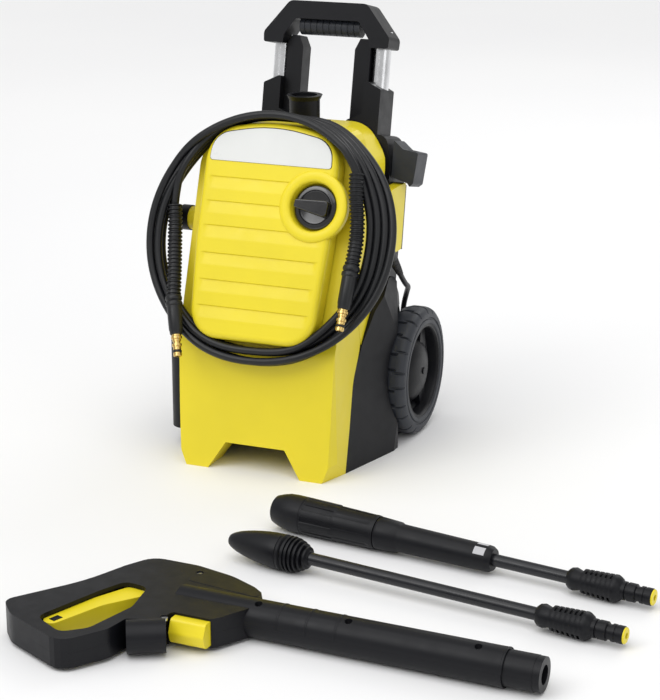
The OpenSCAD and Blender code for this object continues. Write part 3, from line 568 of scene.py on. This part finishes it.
def distance(p, outline):
    """The distance in mm from a point to the nearest side of an outline."""
    best = math.inf
    for a, b in zip(outline, outline[1:] + outline[:1]):
        ab, ap = b - a, p - a
        k = max(0, min(1, ap.dot(ab) / ab.length_squared))
        best = min(best, (ap - ab * k).length)
    return best


def plate_relief(x, t, left, right):
    """How far the face lies below its top: shallow laps across it, and a deep well at the knob."""
    if math.hypot(x - KNOB[0], t - KNOB[1]) < 38:
        return 17
    fade = min(1, max(0, (x - left - 11) / 4)) * min(1, max(0, (right - 11 - x) / 4))
    for lap in LAPS:
        below = lap - t
        if 0 <= below < LAP_HEIGHT:
            return LAP_DEPTH * min(1, below / 1.2) * (1 - below / LAP_HEIGHT) * fade
    return 0


def eased(t):
    """0 to 1 for t from 0 to 1, slow at both ends."""
    return 0.5 - 0.5 * math.cos(math.pi * t)


def make_plate():
    outline = [Vector(p) for p in rounded(PLATE, 10)]
    low, high = min(p.y for p in outline) + 0.05, max(p.y for p in outline) - 0.05
    levels = {low, high}
    row_count, columns = 190, 64
    for k in range(row_count + 1):
        levels.add(low + (high - low) * eased(k / row_count))
    for lap in LAPS:
        levels.update((lap + 0.01, lap - 0.6, lap - 1.2, lap - LAP_HEIGHT))
    mesh = bmesh.new()
    rows = []
    for t in sorted(levels):
        crossings = [
            a.x + (b.x - a.x) * (t - a.y) / (b.y - a.y)
            for a, b in zip(outline, outline[1:] + outline[:1]) if (a.y - t) * (b.y - t) < 0
        ]
        if len(crossings) < 2:
            continue
        left, right = min(crossings), max(crossings)
        row = []
        for k in range(columns + 1):
            x = left + (right - left) * eased(k / columns)
            d = min(PLATE_EDGE, distance(Vector((x, t)), outline))
            n = PLATE_RISE - PLATE_EDGE + math.sqrt(PLATE_EDGE ** 2 - (PLATE_EDGE - d) ** 2)
            row.append(mesh.verts.new(Vector((x, t, n - plate_relief(x, t, left, right))) * MM))
        rows.append(row)
    for one, two in zip(rows, rows[1:]):
        for k in range(columns):
            mesh.faces.new((one[k], one[k + 1], two[k + 1], two[k]))
    rim = [e for e in mesh.edges if len(e.link_faces) == 1]
    wall = bmesh.ops.extrude_edge_only(mesh, edges=rim)["geom"]
    for v in wall:
        if isinstance(v, bmesh.types.BMVert):
            v.co.z = 0.3 * MM
    piece("front_panel", mesh, ON_FACE, "front_plate", angle=50)
    centre = ON_FACE @ place(*KNOB, 0) @ TO_Z
    collar = [
        (12, 6.2), (12, 30), (13, 31.2), (24.5, 31.6), (26.8, 32.6), (28.2, 34.6), (28.8, 37),
        (28.8, 42), (28.2, 45), (26.9, 46.4), (25.5, 46.8), (18, 46.8), (8, 40), (8, 6.2)
    ]
    piece("knob_collar", lathe(collar, 96), centre, "front_plate", replace=False, angle=50)


def make_badge():
    outline = [(-86, -9.5, 4), (86, -9.5, 4), (84, 25, 29), (0, 41.5, 215), (-84, 25, 29)]
    face = prism(rounded([(x * 0.996, y * 0.99 - 0.05, r) for x, y, r in outline]), 24, 27.6)
    bevel(piece("badge", face, ON_FACE, "badge_plate"), 0.5)
    # A near-black sheet a little wider than the badge: painted shade for the gap round it.
    gap = prism(rounded([(x * 1.004, y * 1.02, r) for x, y, r in outline]), 23, 26.62)
    piece("badge_gap_painted_shade", gap, ON_FACE, "badge_plate", "gloss_black", PAINTED_GAP_SHADE, replace=False)


def make_knob():
    disc = [
        (12.5, 0), (12.5, 28.6), (13.4, 29.4), (17.6, 29.4), (19.4, 28.4), (20.2, 26.4),
        (20.2, 22.6), (19.2, 21.6), (18.9, 20), (18.9, 0)
    ]
    piece("knob_disc", lathe(disc, 96), ON_KNOB @ TO_Z, "power_knob")
    bar = prism(rounded([(-26, -6, 3), (22, -12.5, 5), (22, 12.5, 5), (-26, 6, 3)]), 15, 33)
    for v in bar.verts:
        if v.co.z > 0.02:
            v.co.x, v.co.y = v.co.x * 0.94, v.co.y * 0.86
            v.co.z -= max(0, v.co.x) * 0.1
    bevel(piece("knob_grip", bar, ON_KNOB, "power_knob", replace=False), 1.6, 4)


# ---------------------------------------------------------------- wheels

WHEEL_AT = (0, 55.5, 89.3)
WHEEL_IN, WHEEL_OUT, WHEEL_R = 115.5, 152.5, 89.3
BLOCKS_ROUND, TREAD_DEPTH, ARMS = 11, 3, 3


def tread(x, r, a):
    """Two staggered rows of long blocks with narrow grooves between them."""
    if r < 83:
        return r
    turn = a / (2 * math.pi) * BLOCKS_ROUND + (0.5 if x > 134 else 0)
    in_groove = turn % 1 < 0.055 or 0.56 < turn % 1 < 0.615
    return r - (TREAD_DEPTH if in_groove else 0)


def rim_arm():
    """One spoke of a rim, slanting back towards the tyre."""
    arm = prism(rounded([(-17, 20, 6), (17, 20, 6), (13, 59.6, 1), (-13, 59.6, 1)]), 126, 143)
    for v in arm.verts:
        if v.co.z > 130 * MM:
            v.co.x *= 0.8
            v.co.z -= max(0, v.co.y - 30 * MM) * 0.16
    return arm


def make_wheels():
    tyre = [
        (WHEEL_IN + 1, 66), (WHEEL_IN, 70), (WHEEL_IN, 82), (WHEEL_IN + 3, 86.5), (WHEEL_IN + 8, 88),
        (WHEEL_IN + 12, WHEEL_R), (134, WHEEL_R), (WHEEL_OUT - 12, WHEEL_R), (WHEEL_OUT - 8, 88.6),
        (WHEEL_OUT - 4.5, 87), (WHEEL_OUT - 2, 84), (WHEEL_OUT - 0.6, 80), (WHEEL_OUT - 0.2, 76.5),
        (WHEEL_OUT - 0.2, 75.4), (WHEEL_OUT - 1.8, 74.6), (WHEEL_OUT - 1.8, 72.6),
        (WHEEL_OUT - 0.4, 71.8), (WHEEL_OUT, 69), (WHEEL_OUT - 0.6, 67), (WHEEL_OUT - 2, 66)
    ]
    dish = [
        (150.5, 66), (150.5, 62.4), (148.8, 61.2), (146, 60.6), (134, 59), (129, 52), (130.5, 47),
        (131.5, 46), (139.5, 41), (144.5, 34), (147.8, 24), (149.4, 14), (149.8, 5.5), (149.8, 5),
        (120, 5), (120, 4.9), (112.5, 5), (112.5, 15), (118.5, 17), (124.5, 34), (124, 50), (131, 66)
    ]
    axle_end = [(120, 0), (120, 4.8), (151, 4.8), (151.6, 4), (151.6, 0)]
    for side, sign in (("right", 1), ("left", -1)):
        hub = place(*WHEEL_AT) @ Matrix.Scale(sign, 4, Vector((1, 0, 0)))
        rim = "rim_" + side
        piece("tyre_tread_" + side, lathe(tyre, 396, tread), hub, "tyre_" + side, angle=28)
        piece("rim_dish_" + side, lathe(dish, 120), hub, rim, angle=40)
        for k in range(ARMS):
            turn = place(0, 0, 0, ("Y", 90)) @ place(0, 0, 0, ("Z", 180 + 360 / ARMS * k))
            arm = piece("rim_arm_%s_%d" % (side, k), rim_arm(), hub @ turn, rim, replace=False)
            bevel(arm, 2.5)
        piece("axle_end_" + side, lathe(axle_end, 32), hub, rim, replace=False)


# ---------------------------------------------------------------- lances

VARIO_COUPLING_X, ROTOR_COUPLING_X = 400, 398
FIN_START, FIN_PITCH, FIN_COUNT, FIN_GAP, FIN_DEPTH = 16, 6, 7, 3.05, 3
SMOOTH_BAND_TURN = math.radians(163)


def make_coupling(kind, matrix, start):
    """A lance's bayonet end: crosswise fins, two smooth bands, a grooved spigot and a yellow disc."""
    front = [(0, 7.45), (0, 9.6), (3, 12.4), (8, 13.6)]
    fins = []
    for k in range(FIN_COUNT):
        x, r = FIN_START + FIN_PITCH * k, 14.2 + 0.3 * k
        fins += [(x, r), (x + 3, r), (x + 3.1, r + 0.05), (x + 5.9, r + 0.2)]
    spigot = [
        (60, 15.4), (64, 13), (65, 11.6), (66, 10.8), (70, 10.8), (70.4, 9.2), (72.6, 9.2), (73, 10.8),
        (82, 10.8), (82.6, 10.2), (83, 8.6), (88, 8.6), (88.4, 10), (92, 10), (92.4, 9.2), (94, 9.2),
        (94.4, 10), (101, 10), (102, 9.4), (102, 3.6), (60, 3.6), (44, 3.6), (44, 7.45)
    ]

    def finned(x, r, a):
        along = x - start - FIN_START
        on_fins = -0.5 < along < FIN_COUNT * FIN_PITCH and r > 13
        if on_fins and abs(math.cos(a - SMOOTH_BAND_TURN)) < 0.72 and along % FIN_PITCH < FIN_GAP:
            return r - FIN_DEPTH
        return r

    collar = [(start + x, r) for x, r in front + fins + spigot]
    piece(kind + "_collar", lathe(collar, 144, finned), matrix, kind + "_coupling", angle=30)
    disc = [(101, 3.6), (101, 9.2), (103.4, 9.2), (104, 8.4), (104, 3.6)]
    disc = [(start + x, r) for x, r in disc]
    piece(kind + "_end", lathe(disc, 48), matrix, kind + "_coupling", "yellow_shell", replace=False)


def label_mesh(turn):
    """A small curved patch on the adjustable lance's body, centred at an angle in degrees."""
    mesh = bmesh.new()
    rows = []
    for x in (284, 298):
        r = 17.1 - (x - 186) * 1.2 / 112 + 0.12
        angles = [math.radians(turn + 3 * k) for k in range(-6, 7)]
        rows.append([
            mesh.verts.new(Vector((x, r * math.cos(a), r * math.sin(a))) * MM) for a in angles
        ])
    for k in range(12):
        mesh.faces.new((rows[0][k], rows[0][k + 1], rows[1][k + 1], rows[1][k]))
    return mesh


def fluted(x, r, a):
    """Broad flutes round the front of the adjustable sleeve and narrow ones behind them."""
    if 55 < x < 97 and r > 20:
        return r - 1.1 * (math.sin(9 * a) > 0.2)
    if 99 < x < 146 and r > 20:
        return r - 0.7 * (math.sin(9 * a) > 0.75)
    return r


def make_vario():
    grip = [
        (9.4, 7.1), (9, 14.6), (11, 17.2), (18, 19.8), (27, 22.2), (36, 22.9), (52, 22.95),
        (52.6, 22.3), (54.4, 22.3), (55, 22.95), (58, 22.9), (94, 22.4), (96, 22.4), (98, 21.4), (102, 21.4),
        (143, 20.7), (146, 20.7), (150, 20.9), (153.4, 20.2), (153.4, 14.06), (18, 14.06), (18, 7.1)
    ]
    piece("vario_grip", lathe(grip, 180, fluted), ON_VARIO, "vario_sleeve", angle=30)
    barrel = [
        (20, 13.98), (154, 13.98), (154, 19.4), (155, 19.9), (158, 19.9), (181, 18.8), (183, 17.6),
        (186, 17.1), (298, 15.9), (302, 15.4), (306, 13), (306, 7.45), (290, 7.45), (290, 4), (20, 4)
    ]
    piece("vario_barrel", lathe(barrel, 120), ON_VARIO, "vario_body", angle=35)
    for turn in (20, 75, 130):
        label = piece("vario_label_%d" % turn, label_mesh(turn), ON_VARIO, "vario_body",
                      "badge_white", LABEL, replace=False)
        label.modifiers.new("thickness", "SOLIDIFY").thickness = 0.2 * MM


def make_rotor():
    fins = [(72.1, 7.45), (72.1, 20.6), (73, 21.3), (76, 21.5)]
    for x, r in ((78, 21.4), (83, 21.4), (88, 20.6), (93, 19), (98, 16.6), (103, 13.6)):
        fins += [(x, r - 2.6), (x + 2.6, r - 2.8), (x + 2.8, r), (x + 4.6, r - 0.5)]
    fins += [(109, 9.4), (110, 8.6), (110, 7.45)]
    piece("rotor_fins", lathe(fins, 96), ON_ROTOR, "rotor_cage", angle=30)
    bullet = [
        (0.4, 3.1), (0, 5), (1, 6.6), (4, 8.7), (8, 10.6), (14, 12.9), (22, 15), (30, 16.8), (40, 18.5),
        (50, 19.9), (60, 20.8), (70, 21), (71.6, 20.6), (71.6, 3.1)
    ]
    piece("rotor_bullet", lathe(bullet, 96), ON_ROTOR, "rotor_nozzle", angle=35)


# ---------------------------------------------------------------- spray gun

BARREL_FACE, RING_TOP, MUZZLE_STEP = 21, 21.95, 0.2


def make_gun_details():
    outline = [(-428, 34, 6), (-408, 46, 8), (-340, 26, 10), (-330, 14, 4), (-424, 24, 4)]
    inlay = prism(rounded(outline), 16.2, 17.5)
    bevel(piece("gun_inlay", inlay, ON_GUN, "gun_shell_upper", replace=False), 0.5)
    for k, x in enumerate((-296, -262, -228, -42)):
        sunk = MUZZLE_STEP if x > -50 else 0
        ring = [
            (0, BARREL_FACE), (0, 21.72), (0.5, RING_TOP), (2.2, RING_TOP), (2.7, 21.72),
            (2.7, BARREL_FACE)
        ]
        mesh = lathe([(x + along, r - sunk) for along, r in ring], 96)
        lower_half = [v for v in mesh.verts if v.co.z < 0.4 * MM]
        bmesh.ops.delete(mesh, geom=lower_half, context="VERTS")
        piece("gun_ring_%d" % k, mesh, ON_GUN, "gun_shell_upper", replace=False)


# ---------------------------------------------------------------- running order

make_camera()
make_hose()
make_cable()
make_plate()
make_badge()
make_knob()
make_wheels()
make_coupling("vario", ON_VARIO, VARIO_COUPLING_X)
make_coupling("rotor", ON_ROTOR, ROTOR_COUPLING_X)
make_vario()
make_rotor()
make_gun_details()

# Bevel widths in mm.
SOFT_EDGES = {
    "front_cover": 2.5, "main_housing": 2.0, "side_panel_right": 1.5, "side_panel_left": 1.5,
    "rear_cover": 1.2, "holder_right": 1.2, "holder_left": 1.2, "upright_right": 1.2,
    "upright_left": 1.2, "handle_grip": 3.0, "hose_hook": 0.8, "gun_shell_upper": 4.0,
    "gun_shell_lower": 4.0, "trigger": 2.0, "release_button": 1.5, "trigger_lock": 0.5,
    "gun_lance_socket": 0.8, "gun_hose_socket": 0.8, "outlet_socket": 0.8, "outlet_collar": 0.8,
}
for name, node in frame["nodes"].items():
    node.data.materials.clear()
    node.data.materials.append(MATERIALS[SLOT_OF[name]])
    if name in SOFT_EDGES:
        bevel(node, SOFT_EDGES[name])

# ---------------------------------------------------------------- floor and light

def stage():
    mesh = bmesh.new()
    bmesh.ops.create_grid(mesh, x_segments=2, y_segments=2, size=12)
    data = bpy.data.meshes.new("floor")
    mesh.to_mesh(data)
    mesh.free()
    floor = bpy.data.objects.new("floor", data)
    bpy.context.scene.collection.objects.link(floor)
    m = Maker("pale floor")
    shade = m.ramp(m.noise(0.7, 2), 0.3, 0.7, 0, 1)
    m.set(Base_Color=m.mix(shade, (0.9, 0.9, 0.9), (0.87, 0.87, 0.875)), Roughness=0.7)
    data.materials.append(m.mat)


def area_light(name, location, target, size, power):
    data = bpy.data.lights.new(name, "AREA")
    data.shape, data.size, data.energy = "SQUARE", size, power
    lamp = bpy.data.objects.new(name, data)
    lamp.location = location
    lamp.rotation_euler = (Vector(target) - Vector(location)).to_track_quat("-Z", "Y").to_euler()
    bpy.context.scene.collection.objects.link(lamp)


def make_light():
    world = bpy.data.worlds.new("studio")
    world.use_nodes = True
    background = world.node_tree.nodes["Background"]
    background.inputs["Color"].default_value = (1, 1, 1, 1)
    background.inputs["Strength"].default_value = 0.55
    bpy.context.scene.view_settings.view_transform = "Standard"
    bpy.context.scene.world = world
    middle = (0.1, -0.25, 0.25)
    area_light("key", (-1.4, -2.6, 2.4), middle, 1.4, 17)
    area_light("fill", (2.8, -1.6, 1.6), middle, 1.8, 8)
    area_light("back", (0.8, 2.4, 2.2), middle, 1.6, 14)
    data = bpy.data.lights.new("ceiling", "SUN")
    data.energy, data.angle = 1.55, math.radians(70)
    ceiling = bpy.data.objects.new("ceiling", data)
    ceiling.rotation_euler = (math.radians(24), 0, math.radians(-12))
    bpy.context.scene.collection.objects.link(ceiling)


stage()
make_light()
